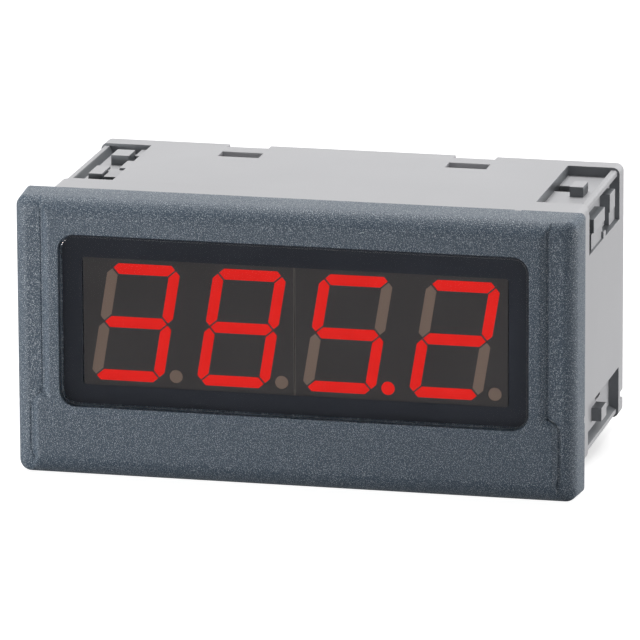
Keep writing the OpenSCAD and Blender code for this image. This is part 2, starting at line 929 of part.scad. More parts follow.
// Second face, drawn as if on top: front slot, bridge, rear recess, catch and stair
module second_recess(catch_u, bridge_l) {
    front_lip = 0.5;
    front_slot_y = recess_y + front_lip;
    bridge_y = front_slot_y + hook_slot_l;
    bridge_end = bridge_y + bridge_l;
    bridge_drop = 0.45;
    near_w = 2.4;
    catch_y = recess_y + catch_b_y;
    catch_out = catch_u + catch_b_w;
    stair_l = 4.7;
    stair_y = recess_end - stair_l;
    shelf_u = 7.9;
    shelf_gap = 3.6;
    split = 0.25;
    difference() {
        span([-recess_w, front_slot_y, -recess_d], [over, recess_end, over]);
        span([-recess_w - over, recess_y, -recess_d], [-hook_slot_u, bridge_end, -bridge_drop]);
        span([-hook_slot_u - near_w, recess_y, -recess_d], [-hook_slot_u, bridge_end, over]);
        span([-recess_w - over, bridge_end - over, -recess_d], [-shelf_u, catch_y - shelf_gap, over]);
        span([-catch_out, catch_y, -recess_d], [-catch_u, catch_y + catch_b_l, over]);
        span([-recess_w - over, stair_y, -recess_d], [-catch_out, recess_end + over, -stair_d]);
    }
    span([-recess_w, front_slot_y, -recess_d - recess_wall - over], [-hook_slot_u, bridge_y, over]);
    translate([-hook_slot_u - near_w - split, bridge_y - over, -recess_d])
        cube([split, hook_slot_l + over, recess_d]);
}

module corner_cut(catch_u, bridge_l) {
    difference() {
        union() {
            first_recess();
            mirror([1, 0, -1])
                second_recess(catch_u, bridge_l);
        }
        slab(recess_y - over, recess_end + over)
            rail_section();
    }
}

// Turns one corner's children onto corner k, clockwise from the top right
module at_corner(k) {
    sx = k < 2 ? 1 : -1;
    sz = k == 0 || k == 3 ? 1 : -1;
    translate([sx * housing_w / 2, 0, sz * housing_h / 2])
        rotate([0, 90 * k, 0])
            children();
}

module housing() {
    color("#c6c6ca")
        difference() {
            union() {
                difference() {
                    slab(-seat_d, housing_l)
                        rrect(housing_w, housing_h, housing_r);
                    slab(-over, housing_l + over)
                        square([inner_w, inner_h], center = true);
                }
                intersection() {
                    slab(0, housing_l)
                        rrect(housing_w, housing_h, housing_r);
                    for (k = [0:3])
                        at_corner(k)
                            corner_fill();
                }
                for (s = [-1, 1])
                    translate([s * (inner_w - rib_d) / 2, (recess_y + main_board_end) / 2, board_top + fit + rib_h / 2])
                        cube([rib_d + 2 * fit, main_board_end - recess_y, rib_h], center = true);
            }
            for (k = [0, 2])
                at_corner(k)
                    corner_cut(catch_b_u_side, bridge_l_side);
            for (k = [1, 3])
                at_corner(k)
                    corner_cut(catch_b_u_flat, bridge_l_flat);
            for (sx = [-1, 1], sz = [-1, 1]) {
                translate([sx * slot_x, slot_y + slot_l / 2, sz * housing_h / 2])
                    cube([slot_w, slot_l, 4 * housing_wall], center = true);
                translate([sx * slot_x, housing_l, sz * housing_h / 2])
                    cube([slot_w, 2 * notch_l, 2 * notch_d], center = true);
            }
            for (s = [-1, 1]) {
                translate([0, nub_y + nub_l / 2, s * inner_h / 2])
                    cube([nub_w + 2 * loose, nub_l + 2 * fit, 2 * nub_h], center = true);
                translate([s * housing_w / 2, housing_l, s * (side_notch_z - housing_h / 2)])
                    cube([2 * notch_d, 2 * notch_l, side_notch_w], center = true);
            }
        }
}

// Width of a plug's screw block
function plug_w(poles) = poles * pitch + 2 * plug_side;

module rear_cover() {
    vent_w = 1.6;
    vent_h = 8;
    vent_z = 11;
    vent_pitch = 4;
    vents = 6;
    tongue_z = inner_h / 2 - loose - latch_t;
    tongue_y = slot_y - latch_lead;
    hook_end = slot_y + slot_l - loose;
    hook_flat = 0.8;
    color("#c6c6ca") {
        difference() {
            slab(cover_y, housing_l)
                rrect(inner_w - 2 * fit, inner_h - 2 * fit, housing_r / 2);
            for (t = [[supply_poles, supply_x], [input_poles, input_x]])
                translate([t[1], 0, line_z + (block_up - block_down) / 2])
                    slab(cover_y - over, housing_l + over)
                        square([plug_w(t[0]) + 2 * plug_room, block_up + block_down + 2 * plug_room], center = true);
            for (i = [-vents:vents])
                translate([i * vent_pitch, cover_y + cover_t / 2, vent_z])
                    cube([vent_w, cover_t + over, vent_h], center = true);
        }
        for (sx = [-1, 1], sz = [-1, 1])
            translate([sx * slot_x, 0, 0])
                rotate([90, 0, 90])
                    linear_extrude(latch_w, center = true)
                        polygon([
                            [tongue_y, sz * tongue_z], [cover_y + over, sz * tongue_z],
                            [cover_y + over, sz * (tongue_z + latch_t)], [hook_end, sz * (tongue_z + latch_t)],
                            [hook_end, sz * (inner_h / 2 + latch_hook)], [hook_end - hook_flat, sz * (inner_h / 2 + latch_hook)],
                            [slot_y + loose, sz * (tongue_z + latch_t)], [tongue_y, sz * (tongue_z + latch_t)]
                        ]);
    }
}

module header_block(poles, x) {
    nose_w = poles * pitch;
    header_w = nose_w + 2 * fit + 2 * header_side;
    color("#2f6b4a")
        difference() {
            span([x - header_w / 2, header_y, board_top], [x + header_w / 2, plug_y, board_top + header_h]);
            span([x - nose_w / 2 - fit, nose_y - fit, line_z - nose_h / 2 - fit],
                [x + nose_w / 2 + fit, plug_y + over, line_z + nose_h / 2 + fit]);
            at_poles(poles, x)
                translate([0, nose_y, line_z])
                    cube([pin_w, 4 * header_back, pin_w], center = true);
        }
}

module header_pins(poles, x) {
    half = pin_w / 2;
    color("#c8c8cc")
        at_poles(poles, x) {
            span([-half, pin_foot_y, line_z - half], [half, pin_end_y, line_z + half]);
            span([-half, pin_foot_y, main_board_z - solder_l], [half, pin_foot_y + pin_w, line_z + half]);
        }
}

module supply_header() {
    header_block(supply_poles, supply_x);
}

module supply_header_pins() {
    header_pins(supply_poles, supply_x);
}

module input_header() {
    header_block(input_poles, input_x);
}

module input_header_pins() {
    header_pins(input_poles, input_x);
}

// Side section of a plug: nose in front, screw block behind
module plug_section() {
    low = line_z - block_down;
    top = line_z + block_up;
    nose_low = line_z - nose_h / 2;
    nose_top = line_z + nose_h / 2;
    polygon([
        [nose_y, nose_low], [plug_y, nose_low], [plug_y, low], [plug_end, low],
        [plug_end, top - plug_slope], [plug_end - plug_slope, top], [plug_y, top], [plug_y, nose_top], [nose_y, nose_top]
    ]);
}

// The hollows that each pole needs, centred on X = 0
module pole_hollows() {
    chamber_w = cage_w + 2 * cage_room;
    chamber_l = cage_l + 2 * cage_room;
    bar_span = screw_y - socket_end;
    span([-socket_w / 2, nose_y - over, line_z - socket_h / 2], [socket_w / 2, socket_end, line_z + socket_h / 2]);
    span([-bar_w / 2, socket_end - over, bar_top - bar_t], [bar_w / 2, socket_end + bar_span, bar_top]);
    span([-chamber_w / 2, screw_y - chamber_l / 2, chamber_floor], [chamber_w / 2, screw_y + chamber_l / 2, chamber_top]);
    translate([0, screw_y, chamber_top - over])
        cylinder(h = block_up + 2 * over, r = mouth_r);
    span([-wire_w / 2, screw_y, wire_top - wire_w], [wire_w / 2, plug_end + over, wire_top]);
}

module plug_body(poles, x) {
    groove = 0.5;
    color("#3b7a56")
        difference() {
            union() {
                translate([x, 0, 0])
                    rotate([90, 0, 90])
                        linear_extrude(poles * pitch, center = true)
                            plug_section();
                span([x - plug_w(poles) / 2, plug_y, line_z - block_down],
                    [x + plug_w(poles) / 2, plug_end - plug_slope, line_z + block_up]);
            }
            at_poles(poles, x)
                pole_hollows();
            for (i = [1:poles - 1])
                translate([pole_x(poles, x, i) - pitch / 2, plug_end, line_z])
                    cube([groove, 2 * groove, 2 * (block_up + block_down)], center = true);
        }
}

module contact_strips(poles, x) {
    wall = 0.5;
    half_bore = pin_bore / 2;
    color("#d9c48a")
        at_poles(poles, x) {
            difference() {
                span([-socket_w / 2, socket_y, line_z - socket_h / 2], [socket_w / 2, socket_end, line_z + socket_h / 2]);
                span([-half_bore, nose_y, line_z - half_bore], [half_bore, socket_end - wall, line_z + half_bore]);
            }
            span([-bar_w / 2, socket_end - wall, bar_top - bar_t], [bar_w / 2, screw_y + cage_l / 2, bar_top]);
        }
}

module supply_plug() {
    plug_body(supply_poles, supply_x);
}

module supply_contacts() {
    contact_strips(supply_poles, supply_x);
}

module input_plug() {
    plug_body(input_poles, input_x);
}

module input_contacts() {
    contact_strips(input_poles, input_x);
}

// Captive clamp screw of one pole, slotted head up
module clamp_screw(x) {
    foot_z = bar_top + running;
    color("#d0d0d4")
        translate([x, screw_y, 0])
            difference() {
                union() {
                    translate([0, 0, foot_z])
                        cylinder(h = head_z - foot_z + fit, r = screw_r);
                    translate([0, 0, head_z])
                        cylinder(h = screw_head_h, r = screw_head_r);
                }
                translate([0, 0, head_z + screw_head_h])
                    cube([3 * screw_head_r, 0.6, screw_head_h], center = true);
            }
}

// Clamp cage of one pole, at its lowest
module clamp_cage(x) {
    hollow_h = cage_h - cage_floor - cage_roof;
    color("#b9bcc2")
        translate([x, screw_y, cage_top - cage_h])
            difference() {
                translate([0, 0, cage_h / 2])
                    cube([cage_w, cage_l, cage_h], center = true);
                translate([0, 0, cage_floor + hollow_h / 2])
                    cube([cage_w - 2 * cage_side, cage_l + over, hollow_h], center = true);
                translate([0, 0, cage_h / 2])
                    cylinder(h = cage_h, r = screw_r + running);
            }
}

module supply_screw(i) {
    clamp_screw(pole_x(supply_poles, supply_x, i - 1));
}

module input_screw(i) {
    clamp_screw(pole_x(input_poles, input_x, i - 1));
}

module supply_cage(i) {
    clamp_cage(pole_x(supply_poles, supply_x, i - 1));
}

module input_cage(i) {
    clamp_cage(pole_x(input_poles, input_x, i - 1));
}

front_bezel();
window();
display_left();
display_right();
segments_lit();
segments_unlit();
display_pins();
display_board();
display_driver();
segment_resistors();
link_header();
link_pins();
main_board();
transformer_core();
transformer_bobbin();
transformer_winding();
bulk_capacitor();
output_capacitor();
varistor();
fuse();
bridge_rectifier();
supply_controller();
optocoupler();
microcontroller();
converter_chip();
crystal();
input_resistors();
housing();
rear_cover();
supply_header();
supply_header_pins();
input_header();
input_header_pins();
supply_plug();
supply_contacts();
input_plug();
input_contacts();
supply_screw(1);  // supply_screw_1
supply_screw(2);  // supply_screw_2
input_screw(1);  // input_screw_1
input_screw(2);  // input_screw_2
input_screw(3);  // input_screw_3
input_screw(4);  // input_screw_4
supply_cage(1);  // supply_cage_1
supply_cage(2);  // supply_cage_2
input_cage(1);  // input_cage_1
input_cage(2);  // input_cage_2
input_cage(3);  // input_cage_3
input_cage(4);  // input_cage_4
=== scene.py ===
import bmesh
import bpy
import math
import numpy as np
from mathutils import Matrix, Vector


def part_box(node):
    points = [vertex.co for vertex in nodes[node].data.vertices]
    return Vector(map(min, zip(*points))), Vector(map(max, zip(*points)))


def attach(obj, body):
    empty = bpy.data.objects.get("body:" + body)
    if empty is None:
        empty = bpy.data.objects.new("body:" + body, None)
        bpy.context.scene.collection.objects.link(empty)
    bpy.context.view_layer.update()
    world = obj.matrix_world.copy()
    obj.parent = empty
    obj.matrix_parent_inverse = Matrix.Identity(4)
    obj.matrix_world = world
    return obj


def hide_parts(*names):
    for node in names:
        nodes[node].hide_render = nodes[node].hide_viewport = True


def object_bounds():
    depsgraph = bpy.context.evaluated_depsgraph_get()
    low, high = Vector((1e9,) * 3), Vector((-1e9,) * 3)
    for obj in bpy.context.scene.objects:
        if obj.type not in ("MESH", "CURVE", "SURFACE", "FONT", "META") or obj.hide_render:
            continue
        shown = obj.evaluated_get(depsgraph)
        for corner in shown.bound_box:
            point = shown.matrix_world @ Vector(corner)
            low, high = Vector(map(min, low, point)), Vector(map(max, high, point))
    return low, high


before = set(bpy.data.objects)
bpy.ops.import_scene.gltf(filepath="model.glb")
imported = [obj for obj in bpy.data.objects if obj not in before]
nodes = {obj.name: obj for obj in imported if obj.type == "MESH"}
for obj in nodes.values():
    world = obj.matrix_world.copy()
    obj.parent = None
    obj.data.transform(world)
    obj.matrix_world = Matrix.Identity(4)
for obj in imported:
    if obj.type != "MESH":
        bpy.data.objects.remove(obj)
cad_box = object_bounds()


# ---------------------------------------------------------------- Front bezel
# One moulding in slate-grey flame-retardant plastic. The tool is spark eroded, so every face carries a fine
# grain; the glints on its tips are painted into the colour as light specks. It is clipped over the housing's front
# edge.

def add_node(tree, kind, inputs=None, **settings):
    """One shader node. A value in inputs is set on its socket, and a socket is linked to it."""
    made = tree.nodes.new(kind)
    for name, value in settings.items():
        setattr(made, name, value)
    for name, value in (inputs or {}).items():
        if isinstance(value, bpy.types.NodeSocket):
            tree.links.new(value, made.inputs[name])
        else:
            made.inputs[name].default_value = value
    return made


def node_group(name, inputs, outputs):
    """An empty shader node group with named sockets; returns its tree, its input node and its output node."""
    tree = bpy.data.node_groups.new(name, "ShaderNodeTree")
    for label, kind, value in inputs:
        socket = tree.interface.new_socket(label, in_out="INPUT", socket_type=kind)
        socket.default_value = value
    for label, kind in outputs:
        tree.interface.new_socket(label, in_out="OUTPUT", socket_type=kind)
    return tree, tree.nodes.new("NodeGroupInput"), tree.nodes.new("NodeGroupOutput")


# Spark-eroded grain: rounded pits of one size, and a mask of the few tips where glints are painted
spark_grain, put_in, put_out = node_group(
    "spark_grain",
    [("Scale", "NodeSocketFloat", 3000.0), ("Tip Level", "NodeSocketFloat", 0.6)],
    [("Height", "NodeSocketFloat"), ("Glints", "NodeSocketFloat"), ("Wander", "NodeSocketFloat")])
place = add_node(spark_grain, "ShaderNodeTexCoord").outputs["Object"]
pits = add_node(spark_grain, "ShaderNodeTexNoise", {"Vector": place, "Scale": put_in.outputs["Scale"],
                                                    "Detail": 2.0, "Roughness": 0.6})
finer = add_node(spark_grain, "ShaderNodeMath", {0: put_in.outputs["Scale"], 1: 1.7}, operation="MULTIPLY")
tips = add_node(spark_grain, "ShaderNodeTexNoise", {"Vector": place, "Scale": finer.outputs[0], "Detail": 1.0})
above = add_node(spark_grain, "ShaderNodeMath", {0: tips.outputs["Fac"], 1: put_in.outputs["Tip Level"]},
                 operation="SUBTRACT")
sharp = add_node(spark_grain, "ShaderNodeMath", {0: above.outputs[0], 1: 12.0}, operation="MULTIPLY", use_clamp=True)
wander = add_node(spark_grain, "ShaderNodeTexNoise", {"Vector": place, "Scale": 60.0, "Detail": 3.0})
spark_grain.links.new(pits.outputs["Fac"], put_out.inputs["Height"])
spark_grain.links.new(sharp.outputs[0], put_out.inputs["Glints"])
spark_grain.links.new(wander.outputs["Fac"], put_out.inputs["Wander"])

# Slow change of tone from the melt's flow, dark and light of the same colour
tone_drift, put_in, put_out = node_group(
    "tone_drift",
    [("Colour", "NodeSocketColor", (0.5, 0.5, 0.5, 1.0)), ("Scale", "NodeSocketFloat", 40.0),
     ("Amount", "NodeSocketFloat", 0.05)],
    [("Colour", "NodeSocketColor"), ("Mask", "NodeSocketFloat")])
place = add_node(tone_drift, "ShaderNodeTexCoord").outputs["Object"]
flow = add_node(tone_drift, "ShaderNodeTexNoise", {"Vector": place, "Scale": put_in.outputs["Scale"],
                                                   "Detail": 4.0, "Roughness": 0.55})
swing = add_node(tone_drift, "ShaderNodeMath", {0: flow.outputs["Fac"], 1: 0.5}, operation="SUBTRACT")
sized = add_node(tone_drift, "ShaderNodeMath", {0: swing.outputs[0], 1: put_in.outputs["Amount"]},
                 operation="MULTIPLY")
level = add_node(tone_drift, "ShaderNodeMath", {0: sized.outputs[0], 1: 4.0, 2: 1.0}, operation="MULTIPLY_ADD")
toned = add_node(tone_drift, "ShaderNodeMix", {"Factor": 1.0, 6: put_in.outputs["Colour"], 7: level.outputs[0]},
                 data_type="RGBA", blend_type="MULTIPLY")
tone_drift.links.new(toned.outputs[2], put_out.inputs["Colour"])
tone_drift.links.new(flow.outputs["Fac"], put_out.inputs["Mask"])


def plain_material(name):
    """A new material, with its node tree and its shader."""
    made = bpy.data.materials.new(name)
    made.use_nodes = True
    return made, made.node_tree, made.node_tree.nodes["Principled BSDF"]


def moulded(name, colour, roughness, grain=3000.0, depth=0.00001, glint_colour=(1.0, 1.0, 1.0), glint_share=0.0,
            tip_level=0.6, drift=0.03, metallic=0.0, specular=0.5):
    """A material for a moulded or coated piece: its colour drifts slowly, the grain's tips take the
    glint colour as painted glints, roughness follows the grain, and the grain's height bumps the surface by depth
    metres."""
    made, tree, shader = plain_material(name)
    shader.inputs["Metallic"].default_value = metallic
    shader.inputs["Specular IOR Level"].default_value = specular
    texture = add_node(tree, "ShaderNodeGroup", node_tree=spark_grain)
    texture.inputs["Scale"].default_value = grain
    texture.inputs["Tip Level"].default_value = tip_level
    tone = add_node(tree, "ShaderNodeGroup", node_tree=tone_drift)
    tone.inputs["Colour"].default_value = (*colour, 1.0)
    tone.inputs["Amount"].default_value = drift
    share = add_node(tree, "ShaderNodeMath", {0: texture.outputs["Glints"], 1: glint_share}, operation="MULTIPLY")
    shade = add_node(tree, "ShaderNodeMix", {"Factor": share.outputs[0], 6: tone.outputs["Colour"], 7: (*glint_colour, 1.0)},
                     data_type="RGBA")
    tree.links.new(shade.outputs[2], shader.inputs["Base Color"])
    rough = add_node(tree, "ShaderNodeMath", {0: texture.outputs["Wander"], 1: 0.16, 2: roughness - 0.08},
                     operation="MULTIPLY_ADD")
    tree.links.new(rough.outputs[0], shader.inputs["Roughness"])
    bump = add_node(tree, "ShaderNodeBump", {"Height": texture.outputs["Height"], "Strength": 1.0, "Distance": depth})
    tree.links.new(bump.outputs["Normal"], shader.inputs["Normal"])
    return made


def merged_mesh(node):
    """A copy of a CAD node's mesh with its doubles merged and its coplanar triangles joined."""
    mesh = nodes[node].data.copy()
    work = bmesh.new()
    work.from_mesh(mesh)
    bmesh.ops.remove_doubles(work, verts=work.verts, dist=2e-6)
    bmesh.ops.dissolve_limit(work, angle_limit=math.radians(0.4), verts=work.verts, edges=work.edges)
    work.to_mesh(mesh)
    work.free()
    return mesh


def make_piece(name, mesh, material, body, stands_for=(), edge=0.0, smooth=35.0):
    """Puts a mesh into the scene as a piece of the object: smooth up to that angle, its sharp edges
    rounded by edge metres, riding on a body and standing for CAD nodes."""
    piece = bpy.data.objects.new(name, mesh)
    bpy.context.scene.collection.objects.link(piece)
    mesh.name = name
    mesh.materials.clear()
    mesh.materials.append(material)
    mesh.shade_smooth()
    mesh.set_sharp_from_angle(angle=math.radians(smooth))
    if edge:
        rounding = piece.modifiers.new("edge", "BEVEL")
        rounding.width = edge
        rounding.segments = 2
        rounding.limit_method = "ANGLE"
        rounding.angle_limit = math.radians(smooth)
        rounding.use_clamp_overlap = False
        rounding.harden_normals = True
    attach(piece, body)
    if stands_for:
        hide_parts(*stands_for)
    return piece


def smooth_less(first, second, soft):
    """The lesser of two heights, with the crease between them rounded: where they differ by less than
    soft, a share h runs from 0 to 1 and soft * h * (1 - h) is taken off their mix."""
    share = np.clip(0.5 + 0.5 * (second - first) / soft, 0, 1)
    return second * (1 - share) + first * share - soft * share * (1 - share)


def rolled_edge(front, deep, high, inset, power=1.6):
    """Place of a rolled face at an inset from the outline: a quarter of a Lame curve that is deep by high,
    front + deep * (1 - (1 - (1 - inset / high)^power)^(1 / power)), and flat beyond."""
    lean = np.clip(1 - inset / high, 0, 1)
    return front + deep * (1 - (1 - lean ** power) ** (1 / power))


def grid_quads(rows, columns):
    """The quads of a grid of points numbered row by row, still in rows and columns."""
    index = np.arange(rows * columns).reshape(rows, columns)
    return np.stack([index[:-1, :-1], index[:-1, 1:], index[1:, 1:], index[1:, :-1]], -1)


def bezel_front(half_width, half_height, hole_x, hole_z, hole_rise, hole_corner, corner):
    """The bezel's face in millimetres as Y over a grid of X and Z: the field and apron, their flanks
    and the pillars are rolled faces joined by smooth_less, with a groove at the flanks' foot."""
    def places(*spans):
        found = np.concatenate([np.linspace(start, end, steps + 1) for start, end, steps in spans])
        return np.unique(np.round(found, 6))

    field_y, field_half, field_deep, field_high = -8.8, 42, 2.7, 3.4
    pillar_y, pillar_deep, pillar_high = -7.9, 1.8, 2.2
    apron_half, apron_top, apron_corner = 44.1, -10.6, 1.2
    hole_edge = 0.15

    # Spans across and along, each with its steps: close together where the face turns
    turn = np.sin(np.radians(np.arange(0, 91, 6)))
    side = half_width - pillar_high
    x_half = places((0, 36, 9), (36, hole_x - hole_corner, 2), (hole_x - hole_corner, hole_x, 9),
                    (hole_x, hole_x + hole_edge, 4), (hole_x + hole_edge, 41.8, 6), (41.8, 42.2, 8), (42.2, 43.0, 6),
                    (43.0, 44.4, 24), (44.4, 45.0, 5), (45.0, side, 13))
    x_half = np.concatenate([x_half, side + pillar_high * turn[1:]])
    across = np.concatenate([-x_half[:0:-1], x_half])
    low, high = hole_rise - hole_z, hole_rise + hole_z
    flat = half_height - field_high
    along = places((-flat, low - 1.6, 7), (low - 1.6, low - hole_edge, 8), (low - hole_edge, low, 4),
                   (low, -8.8, 40), (-8.8, -7, 6), (-7, 13, 12), (13, high - hole_corner, 3),
                   (high - hole_corner, high, 9), (high, high + hole_edge, 4), (high + hole_edge, flat, 7))
    along = np.concatenate([-flat - field_high * turn[:0:-1], along, flat + field_high * turn[1:]])
    x, z = np.meshgrid(across, along)
    inset = np.minimum(half_width - np.abs(x), half_height - np.abs(z))

    # Distance outwards from the raised outline: the field's sides, and the apron with its shoulders
    out_x, out_z = np.abs(x) - (apron_half - apron_corner), z - (apron_top - apron_corner)
    apron = (np.hypot(np.maximum(out_x, 0), np.maximum(out_z, 0)) + np.minimum(np.maximum(out_x, out_z), 0)
             - apron_corner)
    beyond = smooth_less(np.abs(x) - field_half, apron, 0.4)
    slope, foot, foot_slope = 0.75, 1.3, 2.5
    flank = field_y + slope * beyond + foot_slope * np.maximum(beyond - foot, 0)
    field = -smooth_less(-rolled_edge(field_y, field_deep, field_high, half_height - np.abs(z)), -flank, 0.16)
    y = smooth_less(rolled_edge(pillar_y, pillar_deep, pillar_high, inset), field, 0.12)

    # The groove fades out where the apron's shoulder turns, and a dimple stands in each pillar above it
    groove_at, groove_half, groove_deep = 1.36, 0.2, 0.09
    fades = np.clip(np.abs(z - apron_top) / 0.8 - 0.9, 0, 1)
    groove = pillar_y + groove_deep * fades * np.clip(1 - ((beyond - groove_at) / groove_half) ** 2, 0, 1)
    dimple_x, dimple_z, dimple_r, dimple_deep = 43.45, -9.4, 0.6, 0.25
    from_dimple = np.hypot(np.abs(x) - dimple_x, z - dimple_z) / dimple_r
    dimple = pillar_y + dimple_deep * np.clip(1 - from_dimple ** 2, 0, 1) ** 1.5
    y = np.where(beyond > 0.9, np.maximum(y, np.maximum(groove, dimple)), y)
    edge = np.maximum(np.abs(x) - hole_x, np.abs(z - hole_rise) - hole_z)
    y = y + rolled_edge(0.0, hole_edge, hole_edge, np.maximum(edge, 0), 2.0)

    # Square rings of the grid become rings with round corners, about the hole and at the outline
    u, v = np.abs(x) - (hole_x - hole_corner), np.abs(z - hole_rise) - (hole_z - hole_corner)
    ring = np.maximum(u, v)
    near = (u > 0) & (v > 0)
    fade_width = 1.5
    fade = np.clip((ring - hole_corner) / fade_width, 0, 1)
    share = np.where(near, fade + (1 - fade) * ring / np.where(near, np.hypot(u, v), 1), 1)
    turned_x = np.where(near, np.sign(x) * (hole_x - hole_corner + u * share), x)
    turned_z = np.where(near, hole_rise + np.sign(z - hole_rise) * (hole_z - hole_corner + v * share), z)
    square_from, widest = 3.6, 2.4
    radius = np.minimum(corner + 0.1 * inset, widest * np.clip((square_from - inset) / 1.4, 0, 1))
    u, v = np.abs(x) - (half_width - inset - radius), np.abs(z) - (half_height - inset - radius)
    near = (u > 1e-6) & (v > 1e-6) & (inset < square_from)
    share = np.where(near, radius / np.where(near, np.hypot(u, v), 1), 1)
    turned_x = np.where(near, np.sign(x) * (half_width - inset - radius + u * share), turned_x)
    turned_z = np.where(near, np.sign(z) * (half_height - inset - radius + v * share), turned_z)

    middle_x, middle_z = (across[1:] + across[:-1]) / 2, (along[1:] + along[:-1]) / 2
    solid = (np.abs(middle_x)[None, :] > hole_x) | (np.abs(middle_z - hole_rise)[:, None] > hole_z)
    quads = grid_quads(*x.shape)[solid]
    mesh = bpy.data.meshes.new("bezel_front")
    mesh.from_pydata((np.stack([turned_x, y, turned_z], -1).reshape(-1, 3) * 0.001).tolist(), [], quads.tolist())
    return mesh


def open_rims(work):
    """The closed rims of a mesh's openings, each as its corners in order."""
    beside = {}
    for edge in work.edges:
        if edge.is_boundary:
            for end in edge.verts:
                beside.setdefault(end, []).append(edge.other_vert(end))
    rims = []
    while beside:
        rim = [next(iter(beside))]
        ahead = beside.pop(rim[0])
        while ahead:
            onward = [end for end in ahead if end in beside]
            if not onward:
                break
            rim.append(onward[0])
            ahead = beside.pop(onward[0])
        rims.append(rim)
    return rims


def rim_turn(rim):
    """A rim anticlockwise from the middle of its right side, with each corner's direction seen from
    the rim's middle, atan2(z, x), closed by a full turn."""
    spot = np.array([(end.co.x, end.co.z) for end in rim])
    spot = spot - (spot.max(0) + spot.min(0)) / 2
    if np.sum(spot[:, 0] * np.roll(spot[:, 1], -1) - spot[:, 1] * np.roll(spot[:, 0], -1)) < 0:
        rim, spot = rim[::-1], spot[::-1]
    turn = np.arctan2(spot[:, 1], spot[:, 0]) % (2 * math.pi)
    first = int(np.argmin(turn))
    turn = np.roll(turn, -first)
    return rim[first:] + rim[:first], np.append(turn, turn[0] + 2 * math.pi)


def sew(work, one, other):
    """Triangles between two rims of the same outline, always onwards from the rim that lags behind."""
    near, far = 0, 0
    while near < len(one[0]) or far < len(other[0]):
        a, b = one[0][near % len(one[0])], other[0][far % len(other[0])]
        if far == len(other[0]) or (near < len(one[0]) and one[1][near + 1] <= other[1][far + 1]):
            near += 1
            work.faces.new((a, one[0][near % len(one[0])], b))
        else:
            far += 1
            work.faces.new((a, other[0][far % len(other[0])], b))


def fit_front(mesh, front, hole_box, cavity_box, seam, hole_seam):
    """Takes the plain face off a copy of the CAD bezel and sews the worked face on at its two seams.
    The face is what lies before the seam, outside the window's hole and outside the cavity behind."""
    trim_x, trim_z = 0.0459, 0.0219
    work = bmesh.new()
    work.from_mesh(mesh)
    for axis, level in ((1, seam), (1, hole_seam), (0, -trim_x), (0, trim_x), (2, -trim_z), (2, trim_z)):
        bmesh.ops.bisect_plane(work, geom=work.verts[:] + work.edges[:] + work.faces[:], dist=1e-7,
                               plane_co=[level * (k == axis) for k in range(3)],
                               plane_no=[float(k == axis) for k in range(3)])
    gone = []
    for face in work.faces:
        spot = np.array([corner.co for corner in face.verts])
        in_hole = (np.abs(spot[:, 0]) < hole_box[0]).all() and (np.abs(spot[:, 2] - hole_box[1]) < hole_box[2]).all()
        in_cavity = (np.abs(spot[:, 0]) < cavity_box[0]).all() and (np.abs(spot[:, 2]) < cavity_box[1]).all()
        is_face = (spot[:, 1] < seam + 1e-6).all() and not in_hole and not (
            in_cavity and (spot[:, 1] > cavity_box[2]).all())
        if is_face or (spot[:, 1] < hole_seam + 1e-6).all():
            gone.append(face)
    bmesh.ops.delete(work, geom=gone, context="FACES")
    # The outline's corners, one even radius on the copy, grow from the rim to the full radius in front
    half_x, half_z, corner_x, corner_z = 0.048, 0.024, 0.0461, 0.0221
    least, growth, full_at, arc = 0.0009, 0.0011, 0.0061, 0.00188
    for spot in work.verts:
        u, v = abs(spot.co.x) - corner_x, abs(spot.co.z) - corner_z
        if min(u, v) > -1e-7 and math.hypot(u, v) > arc:
            radius = least + growth * min(-spot.co.y / full_at, 1.0)
            share = radius / math.hypot(u, v)
            spot.co.x = math.copysign(half_x - radius + u * share, spot.co.x)
            spot.co.z = math.copysign(half_z - radius + v * share, spot.co.z)
    work.from_mesh(front)
    bmesh.ops.delete(work, geom=[spot for spot in work.verts if not spot.link_faces], context="VERTS")
    rims = [rim_turn(rim) for rim in open_rims(work)]
    rims.sort(key=lambda rim: (rim[0][0].co.x > hole_box[0], rim[0][0].co.y))
    sew(work, rims[0], rims[1])
    sew(work, rims[2], rims[3])
    bmesh.ops.recalc_face_normals(work, faces=work.faces)
    work.to_mesh(mesh)
    work.free()
    return mesh


# The pale blue-grey specks at the grain's tips are painted glints
slate_plastic = moulded("slate_plastic", (0.062, 0.094, 0.133), 0.42, grain=4200.0, depth=0.00012,
                        glint_colour=(0.62, 0.68, 0.74), glint_share=0.8, tip_level=0.57, drift=0.04)
bezel = fit_front(merged_mesh("front_bezel"), bezel_front(48, 24, 40.2, 14.85, 3.15, 2.8, 2.0),
                  (0.04025, 0.00315, 0.0149), (0.0446, 0.0209, -0.006), -0.004, -0.0086)
make_piece("bezel_moulding", bezel, slate_plastic, "meter", ["front_bezel"],
           edge=0.0001, smooth=52.0)


# ---------------------------------------------------------------- Window
# A plate cut from smoked acrylic sheet, with polished, bevelled front edges. Its border is
# printed black on the back, and it is glued to the bezel's ledge.

def round_box(width, height, radius, steps=10):
    """Points anticlockwise round a rectangle with circular corners, as an array of x and z."""
    turn = np.linspace(0, np.pi / 2, steps)
    corners = [(width / 2 - radius, height / 2 - radius, 0), (radius - width / 2, height / 2 - radius, 1),
               (radius - width / 2, radius - height / 2, 2), (width / 2 - radius, radius - height / 2, 3)]
    return np.concatenate([np.stack([x + radius * np.cos(turn + k * np.pi / 2),
                                     z + radius * np.sin(turn + k * np.pi / 2)], 1) for x, z, k in corners])


